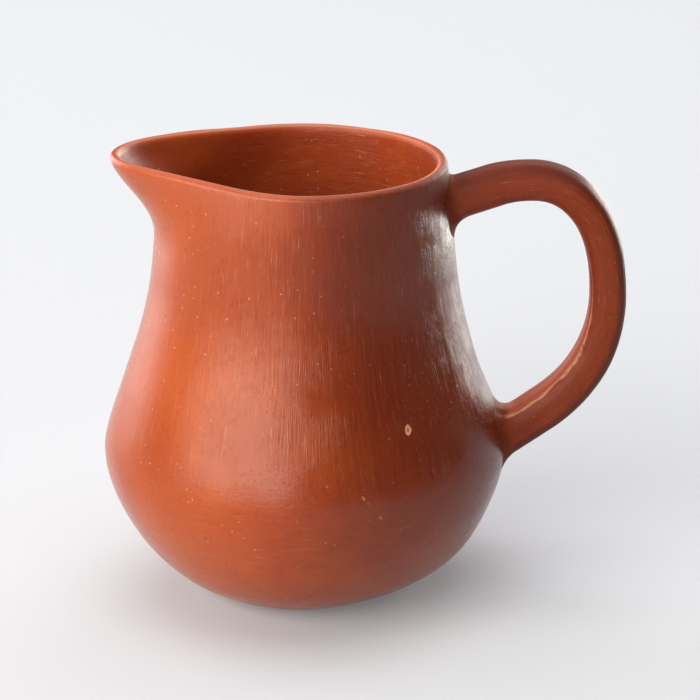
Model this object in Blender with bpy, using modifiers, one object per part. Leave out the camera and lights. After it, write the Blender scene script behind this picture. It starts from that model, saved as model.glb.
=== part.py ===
"""Hand-built clay pitcher: a pressed bowl, three wall coils, a strap handle and its two clay roots.

The pot is built up from clay members that meet in slanted lap joints, each with a thin layer of slip
in it. The last coil carries the mouth and the spout pulled out of it. The handle is a strap of clay
that butts against the wall at both ends, and a wad of clay is worked round each end as a fillet.

Metres, +Z up. The origin is the centre of the foot. The handle is on +X and the spout on -X.
"""

import math
from bisect import bisect_left

import bmesh
import bpy
from mathutils import Vector

# Body: overall sizes
HEIGHT = 0.1785  # foot to lip, at the handle
BELLY_RADIUS = 0.0813
BELLY_HEIGHT = 0.0598
NECK_RADIUS = 0.0610
NECK_BELOW_LIP = 0.0445
MOUTH_RADIUS = 0.0564
FOOT_RADIUS = 0.0228

# Body: how far each curve runs on from its end before it turns
FOOT_PULL = 0.0345
BOWL_PULL = 0.0215
SHOULDER_PULL = 0.0131
NECK_PULL = 0.0298
WALL_TAPER = 0.108  # lean of the wall at the neck and the mouth, as run over rise

# Walls
WALL = 0.0052
FLOOR = 0.0075
LIP = 0.0045

# Spout, pulled out of the last coil
SPOUT_REACH = 0.0196
SPOUT_RISE = 0.0040
SPOUT_DEPTH = 0.0285
SPOUT_HALF_ANGLE = math.radians(27.5)
SPOUT_LIFT_ANGLE = math.radians(62.0)
PINCH = 0.0018
PINCH_ANGLE = math.radians(58.0)
PINCH_HALF_ANGLE = math.radians(20.0)

# Lap joints between the clay members
SLIP = 0.0003  # thickness of the slip in every joint
LAP = 0.0050  # how much higher the joint's outer edge is than its inner edge
BOWL_JOINT_BELOW_BELLY = 0.0140
BELLY_JOINT_ABOVE_BELLY = 0.0320
RIM_COIL_DEPTH = 0.0385

# Handle: places are those of the middle of the strap
HANDLE_STANDOFF = 0.0402  # from the belly out to the handle, at its furthest
HANDLE_TOP_BELOW_LIP = 0.0081
HANDLE_TOP_FROM_OUTER = 0.0309
HANDLE_OUTER_BELOW_LIP = 0.0558
UPPER_ROOT_BELOW_LIP = 0.0160
LOWER_ROOT_ABOVE_BELLY = 0.0069
UPPER_ROOT_RISE = math.radians(16.0)
LOWER_ROOT_RISE = math.radians(19.0)
STRAP_THICKNESS = 0.0146
STRAP_WIDTH = 0.0205
STRAP_CORNER = 0.0052
UPPER_ROOT_SWELL = 1.06  # strap size at the root, over its size at the top of the handle
OUTER_SWELL = 0.98
LOWER_ROOT_SWELL = 1.16
ROOT_BITE = 0.0040  # how far the uncut strap runs into the wall

# Handle: how far the path holds its direction at each place, as a share of the way to the next place
UPPER_ROOT_HOLD = 0.33
TOP_HOLD_BACK = 0.57
TOP_HOLD_ON = 0.61
OUTER_HOLD_UP = 0.56
OUTER_HOLD_DOWN = 0.57
LOWER_ROOT_HOLD = 0.46

# Clay worked round the handle's ends
UPPER_WAD_REACH = 0.0120
LOWER_WAD_REACH = 0.0130
WAD_EDGE = 0.0008  # thickness of the wad where it fades out on the strap
WAD_FLARE = 0.0050  # how much wider than the strap the wad is at the wall
WAD_DROP = 0.0020  # how much lower the wad's middle is than the strap's, at the wall

# Fineness of the solids
SEGMENTS = 60
PROFILE_STEP = 0.0058
ENVELOPE_STEP = 0.0018  # finer, so that what is trimmed to the wall keeps its clearance between points
LIP_STEPS = 5
WAD_STATIONS = 8
STRAP_STEPS = 11
CORNER_STEPS = 3

SHARP_ANGLE = math.radians(40)
FINE = 400  # points on each curve when lengths are measured along it
MERGE = 1e-5

# Burnished clay of each member: linear colour and roughness
CLAY = {
    "base_bowl": ((0.36, 0.078, 0.036, 1.0), 0.42),
    "belly_coil": ((0.47, 0.120, 0.046, 1.0), 0.36),
    "neck_coil": ((0.46, 0.095, 0.044, 1.0), 0.34),
    "rim_coil": ((0.44, 0.085, 0.040, 1.0), 0.34),
    "handle": ((0.42, 0.090, 0.040, 1.0), 0.36),
    "upper_handle_root": ((0.38, 0.080, 0.038, 1.0), 0.40),
    "lower_handle_root": ((0.38, 0.080, 0.038, 1.0), 0.40),
}


def clear_scene():
    for obj in list(bpy.data.objects):
        bpy.data.objects.remove(obj, do_unlink=True)


def new_collection(name):
    collection = bpy.data.collections.new(name)
    bpy.context.scene.collection.children.link(collection)
    return collection


def give_clay(obj):
    colour, roughness = CLAY[obj.name]
    material = bpy.data.materials.new(f"{obj.name}_clay")
    material.use_nodes = True
    shader = material.node_tree.nodes["Principled BSDF"]
    shader.inputs["Base Color"].default_value = colour
    shader.inputs["Roughness"].default_value = roughness
    shader.inputs["Metallic"].default_value = 0.0
    obj.data.materials.clear()
    obj.data.materials.append(material)


def bezier(ends, t):
    """The point at share t of the cubic curve with these four control points."""
    a, b, c, d = (Vector(end) for end in ends)
    s = 1 - t
    return a * s**3 + b * (3 * s * s * t) + c * (3 * s * t * t) + d * t**3


def smooth(t):
    t = min(max(t, 0.0), 1.0)
    return t * t * (3 - 2 * t)


# The wall of the pot, as (radius, height) pairs from the foot's edge to the lip


def wall_curves():
    neck_height = HEIGHT - NECK_BELOW_LIP
    third = NECK_BELOW_LIP / 3
    foot = (FOOT_RADIUS, 0.0)
    belly = (BELLY_RADIUS, BELLY_HEIGHT)
    neck = (NECK_RADIUS, neck_height)
    mouth = (MOUTH_RADIUS, HEIGHT)
    bowl = (foot, (FOOT_RADIUS + FOOT_PULL, 0.0), (BELLY_RADIUS, BELLY_HEIGHT - BOWL_PULL), belly)
    shoulder = (
        belly,
        (BELLY_RADIUS, BELLY_HEIGHT + SHOULDER_PULL),
        (NECK_RADIUS + WALL_TAPER * NECK_PULL, neck_height - NECK_PULL),
        neck,
    )
    collar = (
        neck,
        (NECK_RADIUS - WALL_TAPER * third, neck_height + third),
        (MOUTH_RADIUS + WALL_TAPER * third, HEIGHT - third),
        mouth,
    )
    return bowl, shoulder, collar


def outer_wall():
    points = [Vector((FOOT_RADIUS, 0.0))]
    for curve in wall_curves():
        points += [bezier(curve, (i + 1) / FINE) for i in range(FINE)]
    return points


def wall_thickness(height):
    """Thick at the floor, even through the wall, and thinner again at the lip."""
    at_floor = 1 - smooth(height / BELLY_HEIGHT)
    at_lip = smooth(1 - (HEIGHT - height) / NECK_BELOW_LIP)
    return WALL + (FLOOR - WALL) * at_floor + (LIP - WALL) * at_lip


class Wall:
    """The outer and inner faces of the wall, each found by its distance from the foot along the wall."""

    def __init__(self, outset=0.0):
        outer = outer_wall()
        self.outer, self.inner, self.along = [], [], [0.0]
        for i, point in enumerate(outer):
            run = outer[min(i + 1, len(outer) - 1)] - outer[max(i - 1, 0)]
            inward = Vector((-run.y, run.x)).normalized()
            self.outer.append(point - inward * outset)
            self.inner.append(point + inward * wall_thickness(point.y))
            if i:
                self.along.append(self.along[-1] + (point - outer[i - 1]).length)
        self.length = self.along[-1]

    def at(self, face, distance):
        """The point of a face at this distance along the wall."""
        high = min(bisect_left(self.along, distance), len(self.along) - 1)
        low = max(high - 1, 0)
        span = self.along[high] - self.along[low]
        share = (distance - self.along[low]) / span if span else 0.0
        return face[low].lerp(face[high], share)

    def stretch(self, face, start, end, spacing=PROFILE_STEP):
        """Evenly spaced points of a face from one distance to the other, both included."""
        steps = max(2, round(abs(end - start) / spacing))
        return [self.at(face, start + (end - start) * i / steps) for i in range(steps + 1)]

    def distance_at(self, height):
        return next(s for s, point in zip(self.along, self.outer) if point.y >= height)

    def radius_at(self, height):
        return self.at(self.outer, self.distance_at(height)).x


def slip_along_wall():
    """The joint's opening along the wall that leaves SLIP between its two slanting faces."""
    return SLIP * math.hypot(1, LAP / WALL)


def lip_arc(wall):
    """The rounded edge of the mouth, from its inner to its outer face."""
    inside = wall.at(wall.inner, wall.length)
    outside = wall.at(wall.outer, wall.length)
    middle = (inside + outside) / 2
    radius = (outside - inside).length / 2
    turns = [math.pi * i / (LIP_STEPS + 1) for i in range(1, LIP_STEPS + 1)]
    return [middle + Vector((-math.cos(a), math.sin(a))) * radius for a in turns]


def lip_start(wall):
    """Where the straight wall ends, so that the rounded edge tops out at HEIGHT."""
    return wall.length - LIP / 2


def turned(name, profile, closed, collection):
    """A solid of revolution: the profile as a mesh of edges, with a Screw modifier."""
    mesh = bpy.data.meshes.new(name)
    edges = [(i, i + 1) for i in range(len(profile) - 1)]
    if closed:
        edges.append((len(profile) - 1, 0))
    mesh.from_pydata([(p.x, 0.0, p.y) for p in profile], edges, [])
    obj = bpy.data.objects.new(name, mesh)
    collection.objects.link(obj)
    screw = obj.modifiers.new("Turn", "SCREW")
    screw.axis = "Z"
    screw.angle = math.tau
    screw.steps = screw.render_steps = SEGMENTS
    screw.use_merge_vertices = True
    screw.merge_threshold = MERGE
    return obj


def solidified(obj):
    """The object as plain mesh data, with its modifiers applied and its loose caps welded."""
    bpy.context.view_layer.update()
    evaluated = obj.evaluated_get(bpy.context.evaluated_depsgraph_get())
    mesh = bpy.data.meshes.new_from_object(evaluated)
    work = bmesh.new()
    work.from_mesh(mesh)
    bmesh.ops.remove_doubles(work, verts=work.verts, dist=MERGE)
    bmesh.ops.recalc_face_normals(work, faces=work.faces)
    work.to_mesh(mesh)
    work.free()
    name, matrix, collection = obj.name, obj.matrix_world.copy(), obj.users_collection[0]
    bpy.data.objects.remove(obj, do_unlink=True)
    made = bpy.data.objects.new(name, mesh)
    made.matrix_world = matrix
    collection.objects.link(made)
    return made


def shade_round(obj):
    """Smooth shading, with the edges of the joints kept sharp. A turned piece is shaded by its modifier."""
    if obj.data.polygons:
        obj.data.shade_smooth()
        obj.data.set_sharp_from_angle(angle=SHARP_ANGLE)


# The clay members of the pot


def coil(name, wall, start, end, collection):
    """A ring of wall between two lap joints, from distance start to distance end along the wall."""
    gap = slip_along_wall() / 2
    outer = wall.stretch(wall.outer, end + LAP / 2 - gap, start + LAP / 2 + gap)
    inner = wall.stretch(wall.inner, start - LAP / 2 + gap, end - LAP / 2 - gap)
    return turned(name, outer + inner, True, collection)


def pressed_bowl(wall, end, collection):
    """The bottom of the pot, with its flat foot, up to the first lap joint."""
    gap = slip_along_wall() / 2
    outer = wall.stretch(wall.outer, end + LAP / 2 - gap, 0.0)
    inner = wall.stretch(wall.inner, 0.0, end - LAP / 2 - gap)
    profile = [Vector((0.0, FLOOR))] + inner + outer + [Vector((0.0, 0.0))]
    return turned("base_bowl", profile, False, collection)


def rim_coil(wall, start, collection):
    """The last coil, with the rounded lip, and the spout pulled out of it."""
    gap = slip_along_wall() / 2
    end = lip_start(wall)
    outer = wall.stretch(wall.outer, end, start + LAP / 2 + gap)
    inner = wall.stretch(wall.inner, start - LAP / 2 + gap, end)
    arc = [Vector((p.x, p.y - LIP / 2)) for p in lip_arc(wall)]
    ring = solidified(turned("rim_coil", outer + inner + arc, True, collection))
    for vertex in ring.data.vertices:
        vertex.co = pulled(vertex.co)
    return ring


def pulled(point):
    """Where pulling the spout moves a point of the last coil."""
    radius = math.hypot(point.x, point.y)
    turn = abs(math.atan2(point.y, -point.x))
    depth = smooth((point.z - (HEIGHT - SPOUT_DEPTH)) / SPOUT_DEPTH)
    reach = SPOUT_REACH * math.exp(-((turn / SPOUT_HALF_ANGLE) ** 2))
    pinch = PINCH * math.exp(-(((turn - PINCH_ANGLE) / PINCH_HALF_ANGLE) ** 2))
    rise = SPOUT_RISE * math.exp(-((turn / SPOUT_LIFT_ANGLE) ** 2)) * depth
    scale = (radius + (reach - pinch) * depth) / radius
    return Vector((point.x * scale, point.y * scale, point.z + rise))


# The handle


def handle_anchors(wall):
    """The strap's path as (place, direction of travel, reach of its tangent before and after, size)."""
    upper = HEIGHT - UPPER_ROOT_BELOW_LIP
    lower = BELLY_HEIGHT + LOWER_ROOT_ABOVE_BELLY
    outer = Vector((BELLY_RADIUS + HANDLE_STANDOFF, HEIGHT - HANDLE_OUTER_BELOW_LIP))
    top = Vector((outer.x - HANDLE_TOP_FROM_OUTER, HEIGHT - HANDLE_TOP_BELOW_LIP))
    outwards = Vector((math.cos(UPPER_ROOT_RISE), math.sin(UPPER_ROOT_RISE)))
    inwards = Vector((-math.cos(LOWER_ROOT_RISE), -math.sin(LOWER_ROOT_RISE)))
    start = Vector((wall.radius_at(upper), upper)) - outwards * ROOT_BITE
    end = Vector((wall.radius_at(lower), lower)) + inwards * ROOT_BITE
    first, second, third = top.x - start.x, outer.x - top.x, outer.x - end.x
    rise, fall = top.y - outer.y, outer.y - end.y
    return (
        (start, outwards, 0.0, first * UPPER_ROOT_HOLD, UPPER_ROOT_SWELL),
        (top, Vector((1, 0)), first * TOP_HOLD_BACK, second * TOP_HOLD_ON, 1.0),
        (outer, Vector((0, -1)), rise * OUTER_HOLD_UP, fall * OUTER_HOLD_DOWN, OUTER_SWELL),
        (end, inwards, third * LOWER_ROOT_HOLD, 0.0, LOWER_ROOT_SWELL),
    )


def section_curve(name, growth, collection):
    """The strap's cross-section, a rectangle with round corners, grown all round by a clearance."""
    half_thick = STRAP_THICKNESS / 2 + growth
    half_wide = STRAP_WIDTH / 2 + growth
    corner = STRAP_CORNER + growth
    curve = bpy.data.curves.new(name, "CURVE")
    curve.dimensions = "2D"
    spline = curve.splines.new("POLY")
    points = []
    for quarter, (x, y) in enumerate(((1, 1), (-1, 1), (-1, -1), (1, -1))):
        for step in range(CORNER_STEPS + 1):
            turn = math.pi / 2 * (quarter + step / CORNER_STEPS)
            points.append((
                x * (half_wide - corner) + corner * math.cos(turn),
                y * (half_thick - corner) + corner * math.sin(turn),
            ))
    spline.points.add(len(points) - 1)
    for point, (x, y) in zip(spline.points, points):
        point.co = (x, y, 0.0, 1.0)
    spline.use_cyclic_u = True
    obj = bpy.data.objects.new(name, curve)
    obj.hide_render = True
    obj.display_type = "WIRE"
    collection.objects.link(obj)
    return obj


def upright(place):
    """A place in the plane of the handle, given as (distance from the axis, height)."""
    return Vector((place.x, 0.0, place.y))


def strap(name, wall, section, collection):
    """The handle's strap along its path, running into the wall at both ends."""
    curve = bpy.data.curves.new(name, "CURVE")
    curve.dimensions = "3D"
    curve.resolution_u = STRAP_STEPS
    curve.bevel_mode = "OBJECT"
    curve.bevel_object = section
    curve.use_fill_caps = True
    anchors = handle_anchors(wall)
    spline = curve.splines.new("BEZIER")
    spline.bezier_points.add(len(anchors) - 1)
    for point, (place, run, before, after, size) in zip(spline.bezier_points, anchors):
        point.handle_left_type = point.handle_right_type = "FREE"
        point.co = upright(place)
        point.handle_left = upright(place - run * before)
        point.handle_right = upright(place + run * after)
        point.radius = size
    obj = bpy.data.objects.new(name, curve)
    collection.objects.link(obj)
    return solidified(obj)


def root_path(wall, at_lower_root):
    """The strap's path from a root to the next place on it: points, how far along each is, and sizes."""
    anchors = handle_anchors(wall)
    if at_lower_root:
        (far, run, _, hold, far_size), (root, into, reach, _, size) = anchors[2:]
        ends = (root, root - into * reach, far + run * hold, far)
    else:
        (root, away, _, reach, size), (far, run, hold, _, far_size) = anchors[:2]
        ends = (root, root + away * reach, far - run * hold, far)
    points = [bezier(ends, i / FINE) for i in range(FINE + 1)]
    along = [0.0]
    for before, after in zip(points, points[1:]):
        along.append(along[-1] + (after - before).length)
    sizes = [size + (far_size - size) * i / FINE for i in range(FINE + 1)]
    return points, along, sizes


def wad(name, wall, reach, at_lower_root, section, collection):
    """Clay worked round one end of the strap: a sleeve that flares towards the wall."""
    points, along, sizes = root_path(wall, at_lower_root)
    curve = bpy.data.curves.new(name, "CURVE")
    curve.dimensions = "3D"
    curve.bevel_mode = "OBJECT"
    curve.bevel_object = section
    curve.use_fill_caps = True
    spline = curve.splines.new("POLY")
    spline.points.add(WAD_STATIONS)
    for step, point in enumerate(spline.points):
        out = step / WAD_STATIONS
        i = bisect_left(along, (ROOT_BITE + reach) * out)
        near_wall = (1 - out) ** 2
        place = points[i] - Vector((0.0, WAD_DROP * near_wall))
        extra = WAD_EDGE + WAD_FLARE * near_wall
        point.co = (place.x, 0.0, place.y, 1.0)
        point.radius = sizes[i] + 2 * extra / STRAP_THICKNESS
    obj = bpy.data.objects.new(name, curve)
    collection.objects.link(obj)
    return solidified(obj)


def pot_envelope(outset, collection):
    """The whole pot as one filled body, a little larger all round, that trims what butts against the wall."""
    wall = Wall(outset)
    outer = wall.stretch(wall.outer, wall.length, 0.0, ENVELOPE_STEP)
    profile = [Vector((0.0, HEIGHT))] + outer + [Vector((0.0, -outset))]
    return as_cutter(solidified(turned("pot_envelope", profile, False, collection)))


def as_cutter(obj):
    obj.hide_render = True
    obj.display_type = "WIRE"
    return obj


def trim(obj, tool):
    cut = obj.modifiers.new(f"Trim to {tool.name}", "BOOLEAN")
    cut.operation = "DIFFERENCE"
    cut.object = tool


def body_members(wall, collection):
    """The bowl and the three coils, from the foot up."""
    bowl_joint = wall.distance_at(BELLY_HEIGHT - BOWL_JOINT_BELOW_BELLY)
    belly_joint = wall.distance_at(BELLY_HEIGHT + BELLY_JOINT_ABOVE_BELLY)
    rim_joint = wall.distance_at(HEIGHT - RIM_COIL_DEPTH)
    return [
        pressed_bowl(wall, bowl_joint, collection),
        coil("belly_coil", wall, bowl_joint, belly_joint, collection),
        coil("neck_coil", wall, belly_joint, rim_joint, collection),
        rim_coil(wall, rim_joint, collection),
    ]


def handle_members(wall, collection, tools):
    """The strap and the two wads, trimmed to the wall and to each other with room for the slip."""
    envelope = pot_envelope(SLIP, tools)
    section = section_curve("strap_section", 0.0, tools)
    roomy_section = section_curve("strap_section_with_slip", SLIP, tools)
    strap_room = as_cutter(strap("strap_room", wall, roomy_section, tools))
    handle = strap("handle", wall, section, collection)
    upper = wad("upper_handle_root", wall, UPPER_WAD_REACH, False, section, collection)
    lower = wad("lower_handle_root", wall, LOWER_WAD_REACH, True, section, collection)
    for member in (handle, upper, lower):
        trim(member, envelope)
    for root in (upper, lower):
        trim(root, strap_room)
    return [handle, upper, lower]


def build():
    clear_scene()
    parts = new_collection("pitcher")
    tools = new_collection("cutters")
    foot = bpy.data.objects.new("pitcher_foot", None)
    parts.objects.link(foot)
    wall = Wall()
    for member in body_members(wall, parts) + handle_members(wall, parts, tools):
        member.parent = foot
        give_clay(member)
        shade_round(member)


build()
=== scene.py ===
"""The look of a hand-built clay pitcher: its wall and spout, its strap handle, and the burnished clay.

Run as a script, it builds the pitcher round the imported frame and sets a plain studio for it.
"""

import math
from bisect import bisect_left

import bmesh
import bpy
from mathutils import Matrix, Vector, noise
from mathutils.bvhtree import BVHTree


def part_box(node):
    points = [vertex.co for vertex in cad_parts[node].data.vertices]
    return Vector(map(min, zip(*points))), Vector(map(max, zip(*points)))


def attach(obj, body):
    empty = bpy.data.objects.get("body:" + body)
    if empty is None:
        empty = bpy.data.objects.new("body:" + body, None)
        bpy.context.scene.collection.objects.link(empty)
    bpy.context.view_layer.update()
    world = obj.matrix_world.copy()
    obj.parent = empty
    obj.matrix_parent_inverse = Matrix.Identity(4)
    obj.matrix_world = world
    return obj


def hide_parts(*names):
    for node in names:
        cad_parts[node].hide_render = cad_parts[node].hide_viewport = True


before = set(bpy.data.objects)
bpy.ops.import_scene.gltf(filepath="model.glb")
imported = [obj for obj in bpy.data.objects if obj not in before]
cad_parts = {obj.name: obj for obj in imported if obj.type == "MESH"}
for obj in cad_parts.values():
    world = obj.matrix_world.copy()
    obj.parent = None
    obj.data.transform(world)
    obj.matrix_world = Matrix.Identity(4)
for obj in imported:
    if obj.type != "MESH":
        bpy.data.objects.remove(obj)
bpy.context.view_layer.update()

bl_info = {
    "name": "Burnished Clay Pitcher",
    "version": (1, 0, 0),
    "blender": (4, 5, 0),
    "location": "3D View > Sidebar > Pitcher",
    "description": "Builds a hand-built pitcher of burnished clay and a studio to show it in",
    "category": "Add Mesh",
}

BELLY_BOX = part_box("belly_coil")
HANDLE_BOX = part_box("handle")

MERGE = 1e-6
CURVE_POINTS = 600


def length(name, description, default):
    return bpy.props.FloatProperty(
        name=name,
        description=description,
        default=default,
        min=0.0,
        precision=5,
        subtype="DISTANCE",
        unit="LENGTH",
    )


def angle(name, description, degrees):
    return bpy.props.FloatProperty(
        name=name, description=description, default=math.radians(degrees), subtype="ANGLE", unit="ROTATION"
    )


def share(name, description, default):
    return bpy.props.FloatProperty(name=name, description=description, default=default, min=0.0, soft_max=1.0)


def colour(name, description, default):
    return bpy.props.FloatVectorProperty(
        name=name, description=description, default=default, size=4, min=0.0, max=1.0, subtype="COLOR"
    )


def radiance(name, description, default):
    return bpy.props.FloatProperty(name=name, description=description, default=default, min=0.0)


class PitcherVesselSettings(bpy.types.PropertyGroup):
    """Sizes of the pitcher's wall, mouth and spout"""

    height: length("Height", "Foot to lip at the handle", 0.1795)
    belly_radius: length("Belly radius", "Outer radius where the pitcher is widest", BELLY_BOX[1][0])
    belly_height: length("Belly height", "Height of the widest place", 0.0598)
    neck_radius: length("Neck radius", "Outer radius where the shoulder ends", 0.0610)
    neck_below_lip: length("Neck below lip", "Depth of the collar above the shoulder", 0.0445)
    mouth_radius: length("Mouth radius", "Outer radius at the lip, away from the spout", 0.0564)
    foot_radius: length("Foot radius", "Radius of the flat foot", 0.0228)
    wall: length("Wall", "Thickness of the wall", 0.0052)
    floor: length("Floor", "Thickness of the bottom", 0.0075)
    lip: length("Lip", "Thickness of the rounded lip", 0.0045)
    spout_reach: length("Spout reach", "How far the spout is pulled out", 0.0198)
    spout_depth: length("Spout depth", "How far down the spout starts to leave the wall", 0.0320)
    spout_rise: length("Spout rise", "How much higher the lip is at the spout", 0.0030)
    spout_half_angle: angle("Spout half angle", "Half of the part of the mouth that the spout takes up", 27.5)
    pinch: length("Pinch", "How far the mouth is pressed in beside the spout", 0.0018)
    unevenness: length("Unevenness", "Swells and hollows left by the hands", 0.0005)
    steps: bpy.props.IntProperty(name="Steps", description="Steps around the wall", default=256, min=24)


class PitcherHandleSettings(bpy.types.PropertyGroup):
    """Sizes of the pitcher's strap handle"""

    outer_reach: length("Outer reach", "Pot's axis to the handle's outermost face", HANDLE_BOX[1][0])
    top_below_lip: length("Top below lip", "How far under the lip the strap's middle is at its top", 0.0088)
    top_from_outer: length("Top from outer", "Distance of the top from the outermost place, across", 0.0309)
    outer_below_lip: length("Outer below lip", "Depth of the outermost place", 0.0565)
    upper_root_below_lip: length("Upper root below lip", "Depth where the strap meets the collar", 0.0180)
    lower_root_above_belly: length("Lower root above belly", "Its height over the widest place", 0.0069)
    thickness: length("Thickness", "Thickness of the strap", 0.0146)
    width: length("Width", "Width of the strap", 0.0203)
    fold_depth: length("Fold depth", "Depth of the fold along the strap's inner edge", 0.0011)


class PitcherClaySettings(bpy.types.PropertyGroup):
    """Colours and gloss of the burnished clay"""

    red: colour("Red clay", "Main colour of the burnished slip", (0.300, 0.044, 0.011, 1.0))
    # Orange is also laid on towards the spout, partly as painted light on the side the window lights
    orange: colour("Orange clay", "Colour where the slip is thin", (0.390, 0.074, 0.014, 1.0))
    brown: colour("Brown clay", "Colour of the darker strokes and of pits", (0.175, 0.023, 0.008, 1.0))
    # Colour of specks, dry strokes, the chip and the scratch, and of the painted highlights on the lip's
    # inner edge and the strap's ridge
    dust_and_highlight: colour("Dust_and_highlight", "Colour of bare specks, dry strokes and edges", (0.56, 0.25, 0.14, 1.0))
    # Colour of the paler band along the lip, and of the painted sheen on the strap's inner face
    pale_and_sheen: colour("Pale clay", "Colour where the lip and the strap are worn", (0.400, 0.095, 0.055, 1.0))
    # Colour of the painted shade on the side turned from the window and on the strap's outer face
    painted_shade: colour("Shade", "Colour of smoked clay", (0.050, 0.006, 0.003, 1.0))
    roughness: share("Roughness", "Roughness of the burnished face", 0.20)
    # Where the paler band along the lip starts
    pale_lip_from: length("Pale from", "Distance along the wall where the worn lip starts", 0.200)


class PitcherStudioSettings(bpy.types.PropertyGroup):
    """Camera, floor and lights"""

    lens: bpy.props.FloatProperty(name="Lens", description="Focal length in millimetres", default=148.4)
    floor: colour("Floor", "Colour of the floor", (0.494, 0.504, 0.529, 1.0))
    window: radiance("Window", "Radiance of the window at the front left", 6.5)
    back_left: radiance("Back left", "Radiance of the panel behind, left", 3.4)
    back_right: radiance("Back right", "Radiance of the panel behind, right", 3.8)
    back_high: radiance("Back high", "Radiance of the panel behind, high up", 1.0)
    top: radiance("Top", "Radiance of the panel overhead", 1.8)
    veil: radiance("Veil", "Radiance of the shadowless panel overhead", 2.0)
    card_right: radiance("Right card", "Radiance of the low card that only shows as gloss, right", 8.6)
    card_left: radiance("Left card", "Radiance of the low card that only shows as gloss, left", 1.8)
    fill: radiance("Fill", "Radiance of the room", 0.04)


# Curves


def bezier(ends, t):
    """The point at share t of the cubic curve with these four control points."""
    a, b, c, d = ends
    s = 1 - t
    return a * s**3 + b * (3 * s * s * t) + c * (3 * s * t * t) + d * t**3


def smooth(t):
    t = min(max(t, 0.0), 1.0)
    return t * t * (3 - 2 * t)


def bump(distance, half_width):
    """One at the middle and fading to nothing a little past its half width."""
    return math.exp(-((distance / half_width) ** 2))


def lengths_along(points):
    along = [0.0]
    for before, after in zip(points, points[1:]):
        along.append(along[-1] + (after - before).length)
    return along


def at_length(points, along, distance):
    """The point at this distance along a run of points."""
    high = min(max(bisect_left(along, distance), 1), len(along) - 1)
    low = high - 1
    t = (distance - along[low]) / (along[high] - along[low])
    return points[low].lerp(points[high], min(max(t, 0.0), 1.0))


# The wall

WALL_TAPER = 0.108
FOOT_PULL, BOWL_PULL, SHOULDER_PULL, NECK_PULL = 0.0345, 0.0215, 0.0131, 0.0298
SPOUT_LIFT_ANGLE = math.radians(60)
PINCH_ANGLE, PINCH_HALF_ANGLE = math.radians(58), math.radians(20)
SPOUT_EASE = 1.5  # above one, the spout leaves the wall more softly
ROW_STEP = 0.0021
LIP_STEPS = 9
FOOT_STEPS = 4

# Swells, dents and flats, by the span over which each changes
SWELL_SPAN, DENT_SPAN, DENT_SHARE = 0.050, 0.020, 0.4
FLAT_DEPTH = 0.00006
FLATS_UP = (0.0055, 0.0026, 0.5)  # span of the broad flats, span and share of the narrow ones
FLATS_ROUND = (0.0060, 0.0028, 0.4)
FLAT_STRETCH = 14
ROUND_FLAT_RADIUS = 0.009
UPRIGHT_FROM, UPRIGHT_FADE = 0.095, 0.020
FOOT_EDGE, FOOT_FADE = 0.001, 0.012
LIP_PLAIN, LIP_FADE = 0.006, 0.004
LEAN_FADE = 0.003

# Broad swells and hollows: (bearing from the handle, height, half angle, half height, amount outwards)
LEANS = (
    (math.radians(-20), 0.022, math.radians(22), 0.011, 0.0011),
    (math.radians(-52), 0.004, math.radians(28), 0.006, -0.0008),
    (math.radians(8), 0.096, math.radians(26), 0.014, -0.0010),
)


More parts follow.
